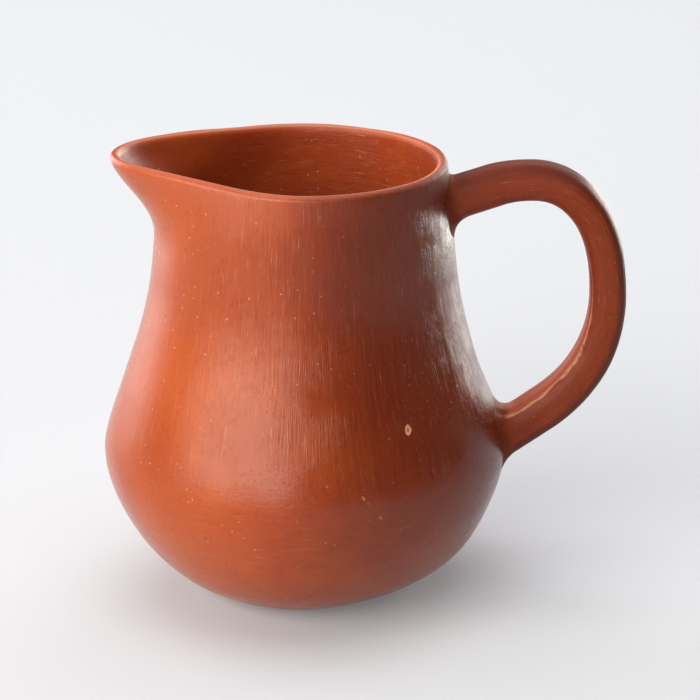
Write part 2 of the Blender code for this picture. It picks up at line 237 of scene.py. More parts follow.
class Wall:
    """The outer and inner faces of the wall as (radius, height), by distance from the foot's edge."""

    def __init__(self, s):
        self.size = s
        neck_height = s.height - s.neck_below_lip
        third = s.neck_below_lip / 3
        foot, belly = Vector((s.foot_radius, 0.0)), Vector((s.belly_radius, s.belly_height))
        neck, mouth = Vector((s.neck_radius, neck_height)), Vector((s.mouth_radius, s.height))
        up, down = Vector((-WALL_TAPER, 1.0)), Vector((WALL_TAPER, -1.0))
        curves = (
            (foot, foot + Vector((FOOT_PULL, 0.0)), belly - Vector((0.0, BOWL_PULL)), belly),
            (belly, belly + Vector((0.0, SHOULDER_PULL)), neck + down * NECK_PULL, neck),
            (neck, neck + up * third, mouth + down * third, mouth),
        )
        self.outer = [foot]
        for curve in curves:
            self.outer += [bezier(curve, (i + 1) / CURVE_POINTS) for i in range(CURVE_POINTS)]
        self.along = lengths_along(self.outer)
        self.inner = []
        for i, point in enumerate(self.outer):
            run = self.outer[min(i + 1, len(self.outer) - 1)] - self.outer[max(i - 1, 0)]
            self.inner.append(point + Vector((-run.y, run.x)).normalized() * self.thickness(point.y))
        self.length = self.along[-1]

    def thickness(self, height):
        s = self.size
        at_floor = 1 - smooth(height / s.belly_height)
        at_lip = smooth(1 - (s.height - height) / s.neck_below_lip)
        return s.wall + (s.floor - s.wall) * at_floor + (s.lip - s.wall) * at_lip

    def along_at(self, height):
        """Distance along the wall of the place at this height."""
        low, high = 0, len(self.outer) - 1
        while low < high:
            middle = (low + high) // 2
            if self.outer[middle].y < height:
                low = middle + 1
            else:
                high = middle
        return self.along[low]

    def radius_at(self, height):
        return at_length(self.outer, self.along, self.along_at(height)).x

    def section(self):
        """The whole turned section as (point, distance along the wall, share inside the pot)."""
        s = self.size
        end = self.length - s.lip / 2
        rows = round(end / ROW_STEP)
        spots = [end * i / rows for i in range(rows + 1)]
        foot = [(Vector((s.foot_radius * i / FOOT_STEPS, 0.0)), 0.0, 0.0) for i in range(FOOT_STEPS)]
        outside = [(at_length(self.outer, self.along, d), d, 0.0) for d in spots]
        inside = [(at_length(self.inner, self.along, d), d, 1.0) for d in reversed(spots)]
        out_end, in_end = outside[-1][0], inside[0][0]
        middle, radius = (out_end + in_end) / 2, (in_end - out_end).length / 2
        lip = []
        for i in range(1, LIP_STEPS + 1):
            turn = math.pi * i / (LIP_STEPS + 1)
            place = middle + Vector((math.cos(turn), math.sin(turn))) * radius
            lip.append((place, self.length, i / (LIP_STEPS + 1)))
        edge = inside[-1][0].x
        shares = [1 - i / FOOT_STEPS for i in range(1, FOOT_STEPS + 1)]
        bottom = [(Vector((edge * share, s.floor)), 0.0, 1.0) for share in shares]
        return foot + outside + lip + inside + bottom

    def pulled(self, point):
        """Where pulling the spout moves a point of the wall."""
        s = self.size
        depth = smooth((point.z - (s.height - s.spout_depth)) / s.spout_depth) ** SPOUT_EASE
        if depth == 0.0:
            return point
        radius = math.hypot(point.x, point.y)
        turn = abs(math.atan2(point.y, -point.x))
        reach = s.spout_reach * bump(turn, s.spout_half_angle)
        pinch = s.pinch * bump(turn - PINCH_ANGLE, PINCH_HALF_ANGLE)
        rise = s.spout_rise * math.exp(-((turn / SPOUT_LIFT_ANGLE) ** 3)) * depth
        scale = (radius + (reach - pinch) * depth) / radius
        return Vector((point.x * scale, point.y * scale, point.z + rise))


def uneven(point, span, seed):
    """Smooth random height from about -1 to 1 that changes over this span."""
    return noise.noise(point / span + Vector((seed, seed * 0.37, -seed)))


def flats(place, sizes, seeds):
    """Broad and narrow flats together."""
    broad_span, narrow_span, narrow_share = sizes
    return uneven(place, broad_span, seeds[0]) + narrow_share * uneven(place, narrow_span, seeds[1])


def stroke_relief(point, along, inside, s):
    """Shallow flats left by the burnishing stone: upright above the belly, turning below it and inside."""
    radius = max(math.hypot(point.x, point.y), 1e-6)
    unit = Vector((point.x / radius, point.y / radius))
    upright = Vector((unit.x * s.belly_radius, unit.y * s.belly_radius, along / FLAT_STRETCH))
    around = Vector((unit.x * ROUND_FLAT_RADIUS, unit.y * ROUND_FLAT_RADIUS, along))
    share_up = smooth((along - UPRIGHT_FROM) / UPRIGHT_FADE) * (1 - inside)
    strokes_up = flats(upright, FLATS_UP, (3.0, 9.0))
    strokes_round = flats(around, FLATS_ROUND, (5.0, 11.0))
    return strokes_up * share_up + strokes_round * (1 - share_up)


def lean(point):
    """How far the hands left this place out from, or in from, the turned form."""
    bearing = math.atan2(point.y, point.x)
    total = 0.0
    for at, height, half_angle, half_height, amount in LEANS:
        turn = math.remainder(bearing - at, math.tau)
        total += amount * bump(turn, half_angle) * bump(point.z - height, half_height)
    return total * smooth(point.z / LEAN_FADE)


def spun_section(wall, steps):
    """The turned section, spun into a closed shell that keeps its places along the wall."""
    work = bmesh.new()
    along_layer = work.verts.layers.float.new("along")
    inside_layer = work.verts.layers.float.new("inside")
    previous = None
    for place, along, inside in wall.section():
        vertex = work.verts.new((place.x, 0.0, place.y))
        vertex[along_layer] = along
        vertex[inside_layer] = inside
        if previous:
            work.edges.new((previous, vertex))
        previous = vertex
    bmesh.ops.spin(
        work,
        geom=work.verts[:] + work.edges[:],
        axis=(0, 0, 1),
        cent=(0, 0, 0),
        steps=steps,
        angle=math.tau,
        use_merge=True,
    )
    bmesh.ops.remove_doubles(work, verts=work.verts, dist=MERGE)
    bmesh.ops.recalc_face_normals(work, faces=work.faces)
    return work, along_layer, inside_layer


def make_vessel(s):
    """The wall of the pot in one piece: a spun section, pulled into a spout and left a little uneven."""
    wall = Wall(s)
    work, along_layer, inside_layer = spun_section(wall, s.steps)
    for vertex in work.verts:
        vertex.co = wall.pulled(vertex.co)
    work.normal_update()
    moves = []
    for vertex in work.verts:
        place, along, inside = vertex.co, vertex[along_layer], vertex[inside_layer]
        clear_of_foot = smooth((place.z - FOOT_EDGE) / FOOT_FADE)
        clear_of_lip = 1 - smooth((along - wall.length + LIP_PLAIN) / LIP_FADE)
        outwards = vertex.normal if inside < 0.5 else -vertex.normal
        swell = s.unevenness * uneven(place, SWELL_SPAN, 1.0)
        swell += s.unevenness * DENT_SHARE * uneven(place, DENT_SPAN, 2.0)
        relief = FLAT_DEPTH * stroke_relief(place, along, inside, s) * clear_of_lip
        moves.append(outwards * ((swell + relief) * clear_of_foot + lean(place)))
    for vertex, move in zip(work.verts, moves):
        vertex.co += move
    return work, wall


# The handle

UPPER_ROOT_RISE, LOWER_ROOT_RISE = math.radians(16), math.radians(19)
UPPER_ROOT_HOLD, TOP_HOLD_BACK, TOP_HOLD_ON = 0.33, 0.57, 0.64
OUTER_HOLD_UP, OUTER_HOLD_DOWN, LOWER_ROOT_HOLD = 0.58, 0.57, 0.46
OUTER_SWELL = 0.98
LOWER_SWELL_AT = 0.6
HEADING_STEP = 0.0004
RING_STEPS = 72
STRAP_STATIONS = 150

# The strap's section and the fold along its inner edge, by the turn from its outward face
SECTION_POWER = 3.2
FOLD_TURN = math.radians(146)
FOLD_HALF_TURN = math.radians(7)
FOLD_FROM, FOLD_FADE = 0.42, 0.18
RIDGE_TURN = FOLD_TURN - 2.1 * FOLD_HALF_TURN
RIDGE_SHARE = 0.6
STRAP_RADIUS = 0.010  # of the round bar that the strokes along the strap are laid out on
FOLD_RIDGE_X = STRAP_RADIUS * math.cos(RIDGE_TURN)
STRAP_LUMP, STRAP_LUMP_SPAN = 0.00022, 0.016
STRAP_FLAT, STRAP_FLAT_SPAN, STRAP_FLAT_STRETCH = 0.00008, 0.003, 9

# The two roots: (size of the fillet at its sides, how much more above, how much more below)
UPPER_FILLET = (0.0052, -0.0022, 0.0036)
LOWER_FILLET = (0.0058, 0.0042, 0.0004)
CLEAR_OF_WALL = 0.018
STRAIGHT_STATIONS = 5
FILLET_STATIONS = 14
ROOT_SINK = 0.00012
ROOT_BURIED = 0.0011
ROOT_OVERLAP = 0.08


class Strap:
    """The handle's path in its upright plane, with the strap's size along it."""

    def __init__(self, s, wall):
        lip = wall.size.height
        outer = Vector((s.outer_reach - s.thickness * OUTER_SWELL / 2, lip - s.outer_below_lip))
        top = Vector((outer.x - s.top_from_outer, lip - s.top_below_lip))
        start_height = lip - s.upper_root_below_lip
        end_height = wall.size.belly_height + s.lower_root_above_belly
        start = Vector((wall.radius_at(start_height), start_height))
        end = Vector((wall.radius_at(end_height), end_height))
        away = Vector((math.cos(UPPER_ROOT_RISE), math.sin(UPPER_ROOT_RISE)))
        back = Vector((-math.cos(LOWER_ROOT_RISE), -math.sin(LOWER_ROOT_RISE)))
        first, second, third = top.x - start.x, outer.x - top.x, outer.x - end.x
        fall = outer.y - end.y
        drop = top.y - outer.y
        right, down = Vector((1.0, 0.0)), Vector((0.0, -1.0))
        curves = (
            (start, start + away * first * UPPER_ROOT_HOLD, top - right * first * TOP_HOLD_BACK, top),
            (top, top + right * second * TOP_HOLD_ON, outer - down * drop * OUTER_HOLD_UP, outer),
            (outer, outer + down * fall * OUTER_HOLD_DOWN, end - back * third * LOWER_ROOT_HOLD, end),
        )
        self.points = [start]
        marks = []
        for curve in curves:
            self.points += [bezier(curve, (i + 1) / CURVE_POINTS) for i in range(CURVE_POINTS)]
            marks.append(len(self.points) - 1)
        self.along = lengths_along(self.points)
        self.length = self.along[-1]
        self.thickness, self.width = s.thickness, s.width
        self.fold_depth = s.fold_depth
        # (distance, thickness over the plain thickness, width over the plain width)
        self.swells = (
            (0.0, 1.15, 1.05),
            (self.along[marks[0]], 1.0, 1.0),
            (self.along[marks[1]], OUTER_SWELL, 0.98),
            (self.along[marks[1]] + fall * LOWER_SWELL_AT, 1.05, 1.0),
            (self.length, 1.11, 1.08),
        )

    def place(self, distance):
        point = at_length(self.points, self.along, distance)
        return Vector((point.x, 0.0, point.y))

    def heading(self, distance):
        low, high = max(distance - HEADING_STEP, 0.0), min(distance + HEADING_STEP, self.length)
        return (self.place(high) - self.place(low)).normalized()

    def half_sizes(self, distance):
        for (low, low_thick, low_wide), (high, high_thick, high_wide) in zip(self.swells, self.swells[1:]):
            if distance <= high:
                t = smooth((distance - low) / (high - low))
                thick = low_thick + (high_thick - low_thick) * t
                wide = low_wide + (high_wide - low_wide) * t
                break
        return self.thickness * thick / 2, self.width * wide / 2

    def ring(self, distance):
        """The strap's section here: a rectangle with well rounded edges, folded along one inner edge."""
        centre, heading = self.place(distance), self.heading(distance)
        side = Vector((0.0, -1.0, 0.0))
        outward = side.cross(heading)
        half_thick, half_wide = self.half_sizes(distance)
        fold = self.fold_depth * smooth((distance / self.length - FOLD_FROM) / FOLD_FADE)
        ring = []
        for i in range(RING_STEPS):
            turn = math.tau * i / RING_STEPS
            across, along_side = math.cos(turn), math.sin(turn)
            flat = abs(across / half_thick) ** SECTION_POWER + abs(along_side / half_wide) ** SECTION_POWER
            reach = flat ** (-1 / SECTION_POWER)
            reach -= fold * bump(turn - FOLD_TURN, FOLD_HALF_TURN)
            reach += fold * RIDGE_SHARE * bump(turn - RIDGE_TURN, FOLD_HALF_TURN)
            ring.append(centre + outward * (across * reach) + side * (along_side * reach))
        return ring


def fillet_size(sizes, spread):
    """The size of a root's fillet in this direction along the wall."""
    beside, above, below = sizes
    return beside + above * max(spread.z, 0.0) + below * max(-spread.z, 0.0)


def root_rings(ring, centre, into_wall, surface, fillet_sizes):
    """Rings that carry the strap from a ring in the open down to the wall, spreading onto it as a fillet.

    Each is (points, share of strap). The first is the ring itself and the last is buried in the wall.
    """
    rings = []
    hits, ends, starts = [], [], []
    hub = surface.ray_cast(centre, into_wall)[0]
    for point in ring:
        hit, normal, _, _ = surface.ray_cast(point, into_wall)
        spread = hit - hub
        spread = (spread - normal * spread.dot(normal)).normalized()
        fillet = fillet_size(fillet_sizes, spread)
        hits.append(hit)
        ends.append(surface.find_nearest(hit + spread * fillet)[0])
        starts.append(hit + (point - hit).normalized() * fillet)
    for k in range(STRAIGHT_STATIONS):
        t = k / STRAIGHT_STATIONS
        rings.append(([point.lerp(start, t) for point, start in zip(ring, starts)], 1.0))
    for k in range(FILLET_STATIONS + 1):
        t = k / FILLET_STATIONS
        points = []
        for hit, start, end in zip(hits, starts, ends):
            foot, normal, _, _ = surface.find_nearest(hit + (end - hit) * t * t)
            points.append(foot + (start - hit) * (1 - t) ** 2 - normal * ROOT_SINK * t**6)
        rings.append((points, 1 - smooth(t)))
    buried = []
    for hit, end in zip(hits, ends):
        foot, normal, _, _ = surface.find_nearest(end + (end - hit) * ROOT_OVERLAP)
        buried.append(foot - normal * ROOT_BURIED)
    rings.append((buried, 0.0))
    return rings


def strap_rings(s, wall, surface):
    """All rings of the strap, from the collar down to the belly: (points, share of strap, distance)."""
    strap = Strap(s, wall)
    first, last = CLEAR_OF_WALL, strap.length - CLEAR_OF_WALL
    upper = root_rings(strap.ring(first), strap.place(first), -strap.heading(first), surface, UPPER_FILLET)
    lower = root_rings(strap.ring(last), strap.place(last), strap.heading(last), surface, LOWER_FILLET)
    rings = []
    for i, (points, part) in enumerate(upper):
        rings.insert(0, (points, part, first - CLEAR_OF_WALL * (i / len(upper))))
    for i in range(1, STRAP_STATIONS):
        distance = first + (last - first) * i / STRAP_STATIONS
        rings.append((strap.ring(distance), 1.0, distance))
    for i, (points, part) in enumerate(lower):
        rings.append((points, part, last + CLEAR_OF_WALL * (i / len(lower))))
    return rings


def make_handle(s, vessel, wall):
    """The strap, swept ring by ring, with both ends worked into the wall."""
    rings = strap_rings(s, wall, BVHTree.FromBMesh(vessel))
    work = bmesh.new()
    strap_layer = work.verts.layers.float_vector.new("strap")
    share_layer = work.verts.layers.float.new("strap_share")
    along_layer = work.verts.layers.float.new("along")
    loop = bmesh.ops.create_circle(work, segments=RING_STEPS, radius=s.thickness / 2)["verts"]
    first_loop = None
    for points, part, distance in rings:
        if first_loop is None:
            first_loop = loop
        else:
            loop = next_loop(work, loop)
        for i, (vertex, point) in enumerate(zip(loop, points)):
            turn = math.tau * i / RING_STEPS
            round_bar = Vector((math.cos(turn), math.sin(turn), 0.0)) * STRAP_RADIUS
            vertex.co = point
            vertex[strap_layer] = round_bar + Vector((0, 0, distance))
            vertex[share_layer] = part
            vertex[along_layer] = wall.along_at(point.z)
    for ends in (first_loop, loop):
        bmesh.ops.contextual_create(work, geom=ends)
    bmesh.ops.recalc_face_normals(work, faces=work.faces)
    work.normal_update()
    moves = []
    for vertex in work.verts:
        path = vertex[strap_layer]
        long_strokes = Vector((path.x, path.y, path.z / STRAP_FLAT_STRETCH))
        lumps = STRAP_LUMP * uneven(vertex.co, STRAP_LUMP_SPAN, 4.0)
        relief = lumps + STRAP_FLAT * uneven(long_strokes, STRAP_FLAT_SPAN, 6.0)
        moves.append(vertex.normal * relief * vertex[share_layer])
    for vertex, move in zip(work.verts, moves):
        vertex.co += move
    return work


def next_loop(work, loop):
    """Extrudes a closed loop and returns the new one, in the same order."""
    edges = [edge for edge in work.edges if edge.is_boundary or edge.is_wire]
    members = set(loop)
    edges = [edge for edge in edges if edge.verts[0] in members and edge.verts[1] in members]
    made = bmesh.ops.extrude_edge_only(work, edges=edges)["geom"]
    fresh = {item for item in made if isinstance(item, bmesh.types.BMVert)}
    partners = []
    for vertex in loop:
        neighbours = (edge.other_vert(vertex) for edge in vertex.link_edges)
        partners.append(next(neighbour for neighbour in neighbours if neighbour in fresh))
    return partners


# Burnished clay

WALL_SHINE, HANDLE_SHINE, CLAY_IOR = 0.40, 0.22, 1.42
RELIEF_DEPTH, RELIEF_STRENGTH = 0.00022, 0.9
UPRIGHT_STRETCH, STRAP_STRETCH, TURNING_RADIUS = 18, 14, 0.005

# Noises: (scale, detail, roughness)
FINE_NOISE, MEDIUM_NOISE, BROAD_NOISE = (1700, 3, 0.65), (620, 2, 0.5), (170, 2, 0.5)
BLOTCH_NOISE, CLOUD_NOISE, PATCH_NOISE = (34, 3, 0.6), (9, 2, 0.5), (75, 2, 0.55)
GRAIN_NOISE, MOTTLE_NOISE = (1900, 3, 0.65), (420, 3, 0.6)
DRIFT_NOISE, WANDER_NOISE = (30, 2, 0.5), (260, 2, 0.5)
SPECK_NOISE, PIT_NOISE = (60, 1, 0.5), (48, 2, 0.5)
SPECK_SCALE, PIT_SCALE = 230, 560

# Steps: (from, to, value before, value after), or only (from, to) for a step from 0 to 1
UPRIGHT, UPRIGHT_DRIFT = (0.105, 0.125), 0.03
PRESSED_PATCHES, PRESSED_BY_SPOUT = (0.34, 0.62, 0.35, 1.0), (-0.80, -0.25, 0.25, 1.0)
PRESSED_LOW_DOWN, PRESSED_INSIDE = 0.45, 0.9
# More orange towards the spout: partly thinner slip, partly painted light on the side the window lights
THIN_SLIP, THIN_SLIP_AND_LIGHT_BY_SPOUT = (0.38, 0.70, 0.0, 0.55), (0.0, -0.50, 0.0, 0.60)
CLOUDS, MOTTLES = (0.50, 0.30, 0.0, 0.30), (0.46, 0.28, 0.0, 0.35)
BROAD_STREAKS, MEDIUM_STREAKS = (0.46, 0.78, 0.0, 0.20), (0.50, 0.25, 0.0, 0.40)
FINE_STREAKS, DRY_STREAKS = (0.46, 0.26, 0.0, 0.82), (0.58, 0.72, 0.0, 0.50)
SPECKS, SPECKS_WHERE, SPECKS_SHOW = (0.120, 0.050), (0.45, 0.58), 0.58
PITS, PITS_WHERE, PITS_SHOW, PITS_RAGGED = (0.20, 0.04), (0.46, 0.60), 0.30, 0.9
# A paler band along the lip
PALE_LIP_FADE, PALE_LIP_INWARDS, PALE_LIP_SHOW = 0.010, (0.95, 0.75), 0.22
# Painted highlight along the lip's inner edge, strongest on the side towards the camera
LIP_HIGHLIGHT_OUTER, LIP_HIGHLIGHT_INNER, LIP_HIGHLIGHT_SHOW = (0.46, 0.58), (0.80, 0.70), (0.3, -0.4, 0.30, 0.90)
# Painted shade on the front right, the side turned from the window, with less of it low down and on the strap
SHADE_TOWARDS, SHADE_STEP = (0.82, -0.57), (0.32, 0.92, 0.0, 0.70)
SHADE_LOW_DOWN, SHADE_ON_STRAP = (0.045, 0.105, 0.38, 1.0), (0.3, 1.0, 1.0, 0.80)
# Painted shade on the strap's outer face, turned from the light
STRAP_BACK_SHADE = (-0.001, 0.0062, 0.29, 0.84)
LOWER_STRAP, CLEAR_OF_ROOTS = (0.085, 0.110), (0.55, 0.95)
# Painted sheen on the strap's inner face, below its middle
INNER_FACE_SHEEN, INNER_FACE_SHEEN_SHOW = (-0.0060, -0.0080), 0.55
# Painted highlight along the ridge beside the strap's fold, on the side towards the camera
RIDGE_HIGHLIGHT, RIDGE_HIGHLIGHT_BREAKS, RIDGE_HIGHLIGHT_SIDE = (0.0007, 0.0002), (0.34, 0.50, 0.35, 1.0), (0.0, 0.002)
RIDGE_HIGHLIGHT_SHAKE, RIDGE_HIGHLIGHT_SHOW = 0.0026, 0.65

CHIP, CHIP_HALF_SIZES = (0.0406, -0.0609, 0.0881), (0.0014, 0.0014, 0.0023)
CHIP_EDGE, CHIP_BOTTOM, CHIP_RAGGED, CHIP_SHOW = (1.1, 0.85), (0.55, 0.30, 0.0, 0.75), 1.2, 0.90
SCRATCH = ((0.0229, -0.0767, 0.0667), (0.0313, -0.0744, 0.0555))
SCRATCH_WIDTH, SCRATCH_BREAKS, SCRATCH_WANDER, SCRATCH_SHOW = (0.0008, 0.0003), (0.40, 0.52), 0.006, 0.70

# Roughness beside the burnished face
SMOOTHER, ROUGHER, ROUGH_STROKES = 0.05, 0.06, (0.3, 0.7)
DRY_ROUGH, LIP_ROUGH = (0.55, 0.8, 0.0, 0.10), (0.40, 0.85, 0.0, 0.38)
INSIDE_MATTE, STRAP_MATTE, MATTE_ROUGH = (0.0, 0.6), (0.0, 0.06), 0.22
ROOT_ROUGH, STRAP_BACK_ROUGH, MARKS_ROUGH = (1.0, 0.7, 0.0, 0.35), (0.004, 0.009, 0.0, 0.12), 0.3

# Relief beside the fine strokes
MEDIUM_RELIEF, GRAIN_RELIEF, MOTTLE_RELIEF, MARKS_RELIEF, CHIP_RELIEF = 0.8, 0.30, 0.25, 0.35, 1.5


class Recipe:
    """Short calls for the nodes of one material."""

    def __init__(self, name):
        self.material = bpy.data.materials.new(name)
        self.material.use_nodes = True
        self.tree = self.material.node_tree
        self.shader = self.tree.nodes["Principled BSDF"]
        self.here = self.tree.nodes.new("ShaderNodeTexCoord").outputs["Object"]

    def feed(self, socket, value):
        if isinstance(value, bpy.types.NodeSocket):
            self.tree.links.new(value, socket)
        else:
            socket.default_value = value

    def math(self, operation, *values, clamp=False):
        node = self.tree.nodes.new("ShaderNodeMath")
        node.operation = operation
        node.use_clamp = clamp
        for socket, value in zip(node.inputs, values):
            self.feed(socket, value)
        return node.outputs[0]

    def plus(self, first, second, clamp=False):
        return self.math("ADD", first, second, clamp=clamp)

    def minus(self, first, second):
        return self.math("SUBTRACT", first, second)

    def times(self, first, second):
        return self.math("MULTIPLY", first, second)

    def over(self, first, second):
        return self.math("DIVIDE", first, second)

    def larger(self, first, second):
        return self.math("MAXIMUM", first, second)

    def unsigned(self, value):
        return self.math("ABSOLUTE", value)

    def either_way(self, field, amount):
        """A noise from 0 to 1, moved to run as far below nothing as above it."""
        return self.times(self.minus(field, 0.5), amount)

    def vector(self, x, y, z):
        node = self.tree.nodes.new("ShaderNodeCombineXYZ")
        for socket, value in zip(node.inputs, (x, y, z)):
            self.feed(socket, value)
        return node.outputs[0]

    def parts(self, vector):
        node = self.tree.nodes.new("ShaderNodeSeparateXYZ")
        self.feed(node.inputs[0], vector)
        return node.outputs[:]

    def attribute(self, name, vector=False):
        node = self.tree.nodes.new("ShaderNodeAttribute")
        node.attribute_name = name
        return node.outputs["Vector" if vector else "Fac"]

    def noise(self, vector, scale, detail, roughness):
        node = self.tree.nodes.new("ShaderNodeTexNoise")
        self.feed(node.inputs["Vector"], vector)
        node.inputs["Scale"].default_value = scale
        node.inputs["Detail"].default_value = detail
        node.inputs["Roughness"].default_value = roughness
        return node.outputs["Fac"]

    def near(self, centre, half_sizes):
        """Distance from a centre, where one is the edge of an ellipsoid with these half sizes."""
        total = 0.0
        for part, middle, half in zip(self.parts(self.here), centre, half_sizes):
            offset = self.over(self.minus(part, middle), half)
            total = self.plus(self.times(offset, offset), total)
        return self.math("SQRT", total)

    def beside(self, start, end):
        """Distance from the straight line between two places."""
        run = Vector(end) - Vector(start)
        towards, total = 0.0, 0.0
        offsets = [self.minus(part, first) for part, first in zip(self.parts(self.here), start)]
        for offset, step in zip(offsets, run):
            towards = self.plus(self.times(offset, step / run.length_squared), towards)
        ahead = self.math("MINIMUM", self.larger(towards, 0.0), 1.0)
        for offset, step in zip(offsets, run):
            gap = self.minus(offset, self.times(ahead, step))
            total = self.plus(self.times(gap, gap), total)
        return self.math("SQRT", total)

    def spots(self, scale):
        """Distance from the nearest of many scattered places, in spans of one over the scale."""
        node = self.tree.nodes.new("ShaderNodeTexVoronoi")
        self.feed(node.inputs["Vector"], self.here)
        node.inputs["Scale"].default_value = scale
        return node.outputs["Distance"]

    def step(self, value, low, high, to_low=0.0, to_high=1.0):
        """A smooth step from to_low to to_high as value goes from low to high."""
        node = self.tree.nodes.new("ShaderNodeMapRange")
        node.interpolation_type = "SMOOTHSTEP"
        for socket, number in zip(node.inputs, (value, low, high, to_low, to_high)):
            self.feed(socket, number)
        return node.outputs[0]

    def mix(self, kind, suffix, part, low, high):
        node = self.tree.nodes.new("ShaderNodeMix")
        node.data_type = kind
        for name, value in (("Factor_Float", part), ("A_" + suffix, low), ("B_" + suffix, high)):
            self.feed(next(s for s in node.inputs if s.identifier == name), value)
        return next(s for s in node.outputs if s.identifier == "Result_" + suffix)

    def blend(self, part, low, high):
        """Between two values."""
        return self.mix("FLOAT", "Float", part, low, high)

    def tint(self, part, low, high):
        """Between two colours."""
        return self.mix("RGBA", "Color", part, low, high)

    def bump(self, height, distance, strength):
        node = self.tree.nodes.new("ShaderNodeBump")
        node.inputs["Strength"].default_value = strength
        node.inputs["Distance"].default_value = distance
        self.feed(node.inputs["Height"], height)
        return node.outputs["Normal"]


class BurnishedClay(Recipe):
    """Burnished clay. Strokes run upright above the belly, turn below it and inside, and follow the strap."""

    def __init__(self, name, s, reach, shine):
        super().__init__(name)
        self.clay = s
        self.find_places()
        self.lay_strokes(reach)
        self.lay_marks()
        base = self.slip()
        base = self.marked(base)
        base = self.pale_lip_and_highlight(base)
        base = self.shaded(base)
        base = self.strap_sheen_and_highlight(base)
        base = self.chipped(base)
        self.feed(self.shader.inputs["Base Color"], base)
        self.feed(self.shader.inputs["Roughness"], self.roughness())
        self.shader.inputs["Specular IOR Level"].default_value = shine
        self.shader.inputs["IOR"].default_value = CLAY_IOR
        self.feed(self.shader.inputs["Normal"], self.bump(self.relief(), RELIEF_DEPTH, RELIEF_STRENGTH))

    def find_places(self):
        """Where a point lies: its bearing, how far up the wall or along the strap, and on which face."""
        x, y, _ = self.parts(self.here)
        radius = self.math("SQRT", self.plus(self.times(x, x), self.plus(self.times(y, y), 1e-9)))
        self.unit_x, self.unit_y = self.over(x, radius), self.over(y, radius)
        self.along = self.attribute("along")
        self.inside = self.attribute("inside")
        self.outside = self.minus(1.0, self.inside)
        self.strap_share = self.attribute("strap_share")
        self.strap_x, self.strap_y, self.strap_z = self.parts(self.attribute("strap", vector=True))

    def lay_strokes(self, reach):
        """Strokes in three sizes, and how hard they were pressed, which is least by the spout."""

        def around(radius, along):
            return self.vector(self.times(self.unit_x, radius), self.times(self.unit_y, radius), along)

        upright = around(reach, self.over(self.along, UPRIGHT_STRETCH))
        turning = around(TURNING_RADIUS, self.along)
        lengthwise = self.vector(self.strap_x, self.strap_y, self.over(self.strap_z, STRAP_STRETCH))
        border = self.plus(self.along, self.times(self.noise(self.here, *DRIFT_NOISE), UPRIGHT_DRIFT))
        upright_share = self.times(self.step(border, *UPRIGHT), self.outside)

        def strokes(sizes):
            """Stroke noise in whichever direction the clay was rubbed."""
            up, turned = self.noise(upright, *sizes), self.noise(turning, *sizes)
            on_strap = self.noise(lengthwise, *sizes)
            return self.blend(self.strap_share, self.blend(upright_share, turned, up), on_strap)

        self.fine = strokes(FINE_NOISE)
        self.medium = strokes(MEDIUM_NOISE)
        self.broad = strokes(BROAD_NOISE)
        self.patch = self.noise(self.here, *PATCH_NOISE)
        by_place = self.step(self.unit_x, *PRESSED_BY_SPOUT)
        by_face = self.blend(upright_share, self.blend(self.inside, PRESSED_LOW_DOWN, PRESSED_INSIDE), 1.0)
        self.pressed = self.times(self.times(self.step(self.patch, *PRESSED_PATCHES), by_place), by_face)

    def lay_marks(self):
        """The clay's own grain, with its specks, its pits and the chip."""
        self.grain = self.noise(self.here, *GRAIN_NOISE)
        self.mottle = self.noise(self.here, *MOTTLE_NOISE)
        specks_where = self.step(self.noise(self.here, *SPECK_NOISE), *SPECKS_WHERE)
        self.specks = self.times(self.step(self.spots(SPECK_SCALE), *SPECKS), specks_where)
        ragged = self.plus(self.spots(PIT_SCALE), self.either_way(self.grain, PITS_RAGGED))
        pits_where = self.step(self.noise(self.here, *PIT_NOISE), *PITS_WHERE)
        self.pits = self.times(self.step(ragged, *PITS), pits_where)
        self.marks = self.larger(self.specks, self.pits)
        self.chip = self.near(CHIP, CHIP_HALF_SIZES)
        ragged = self.plus(self.chip, self.either_way(self.mottle, CHIP_RAGGED))
        self.chip_edge = self.step(ragged, *CHIP_EDGE)

    def slip(self):
        """The slip itself: orange where it is thin, and towards the spout partly as painted light from the
        window; brown in the strokes and dusty where they ran dry.
        """
        clay = self.clay
        base = self.tint(self.step(self.noise(self.here, *BLOTCH_NOISE), *THIN_SLIP), clay.red, clay.orange)
        # More orange towards the spout: partly thinner slip, partly painted light on the side the window
        # lights
        base = self.tint(self.times(self.step(self.unit_x, *THIN_SLIP_AND_LIGHT_BY_SPOUT), self.outside), base, clay.orange)
        base = self.tint(self.step(self.broad, *BROAD_STREAKS), base, clay.orange)
        base = self.tint(self.step(self.noise(self.here, *CLOUD_NOISE), *CLOUDS), base, clay.brown)
        base = self.tint(self.step(self.mottle, *MOTTLES), base, clay.brown)
        base = self.tint(self.times(self.step(self.medium, *MEDIUM_STREAKS), self.pressed), base, clay.brown)
        base = self.tint(self.times(self.step(self.fine, *FINE_STREAKS), self.pressed), base, clay.brown)
        return self.tint(self.times(self.step(self.fine, *DRY_STREAKS), self.pressed), base, clay.dust_and_highlight)

    def marked(self, base):
        base = self.tint(self.times(self.specks, SPECKS_SHOW), base, self.clay.dust_and_highlight)
        return self.tint(self.times(self.pits, PITS_SHOW), base, self.clay.brown)

    def pale_lip_and_highlight(self, base):
        """A paler band along the lip, and a painted highlight along the lip's inner edge, strongest at the
        front.
        """
        start = self.clay.pale_lip_from
        self.near_lip = self.times(
            self.step(self.along, start, start + PALE_LIP_FADE), self.step(self.inside, *PALE_LIP_INWARDS)
        )
        base = self.tint(self.times(self.near_lip, PALE_LIP_SHOW), base, self.clay.pale_and_sheen)
